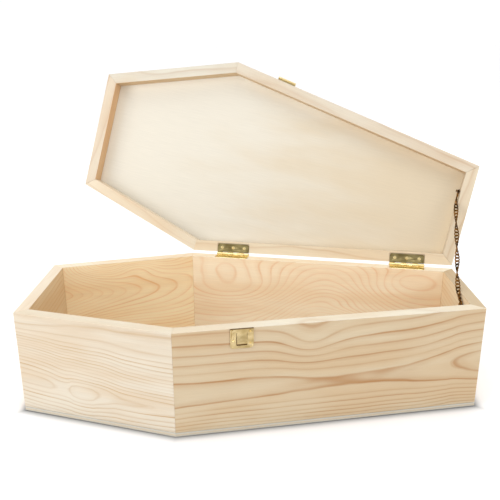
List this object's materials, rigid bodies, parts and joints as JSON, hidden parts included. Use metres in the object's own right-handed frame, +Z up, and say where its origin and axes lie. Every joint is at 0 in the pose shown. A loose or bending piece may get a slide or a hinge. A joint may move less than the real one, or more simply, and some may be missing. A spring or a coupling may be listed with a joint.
{
  "type": "small wooden coffin box",
  "caption": "Tabletop coffin-shaped box of bare pine with a framed plywood lid hinged along one long side, brass latch and stay chain.",
  "frame": {"origin": "centre of the underside of the base panel, midway along the coffin's length", "axes": "+X along the length towards the foot end, +Y towards the hinged long side, +Z up"},
  "size_m": [0.4814, 0.3281, 0.3242],
  "materials": {
    "pine": "bare planed pine, unfinished",
    "plywood": "bare sanded plywood, unfinished",
    "brass": "bright brass plated steel",
    "aged_brass": "dull antique brass"
  },
  "bodies": {
    "box": {"base_panel": "plywood", "wall_head_side_back": "pine", "wall_back": "pine", "wall_foot": "pine", "wall_front": "pine", "wall_head_side_front": "pine", "wall_head": "pine", "hinge_right_box_leaf": "brass", "hinge_right_pin": "brass", "hinge_right_box_screw_1": "brass", "hinge_right_box_screw_2": "brass", "hinge_right_box_screw_3": "brass", "hinge_left_box_leaf": "brass", "hinge_left_pin": "brass", "hinge_left_box_screw_1": "brass", "hinge_left_box_screw_2": "brass", "hinge_left_box_screw_3": "brass", "catch_plate": "brass", "catch_brad_1": "brass", "catch_brad_2": "brass", "catch_brad_3": "brass", "chain_screw_box": "aged_brass", "stay_chain": "aged_brass"},
    "lid": {"lid_panel": "plywood", "lid_rail_head_side_back": "pine", "lid_rail_back": "pine", "lid_rail_foot": "pine", "lid_rail_front": "pine", "lid_rail_head_side_front": "pine", "lid_rail_head": "pine", "hinge_right_lid_leaf": "brass", "hinge_right_lid_screw_1": "brass", "hinge_right_lid_screw_2": "brass", "hinge_right_lid_screw_3": "brass", "hinge_left_lid_leaf": "brass", "hinge_left_lid_screw_1": "brass", "hinge_left_lid_screw_2": "brass", "hinge_left_lid_screw_3": "brass", "hasp_plate": "brass", "hasp_pin": "brass", "hasp_brad_1": "brass", "hasp_brad_2": "brass", "chain_screw_lid": "aged_brass"},
    "hasp": {"hasp_flap": "brass"}
  },
  "joints": [
    {"name": "lid_hinge", "type": "hinge", "parent": "box", "child": "lid", "pos_m": [0.22548, 0.05895, 0.1062], "axis": [-0.9814, 0.1919, 0], "range_deg": [-105.5, 0], "deforming": ["stay_chain"]},
    {"name": "hasp_hinge", "type": "hinge", "parent": "lid", "child": "hasp", "pos_m": [0.04343, 0.15191, 0.30316], "axis": [0.8898, -0.2766, -0.363], "range_deg": [0, 180]}
  ]
}
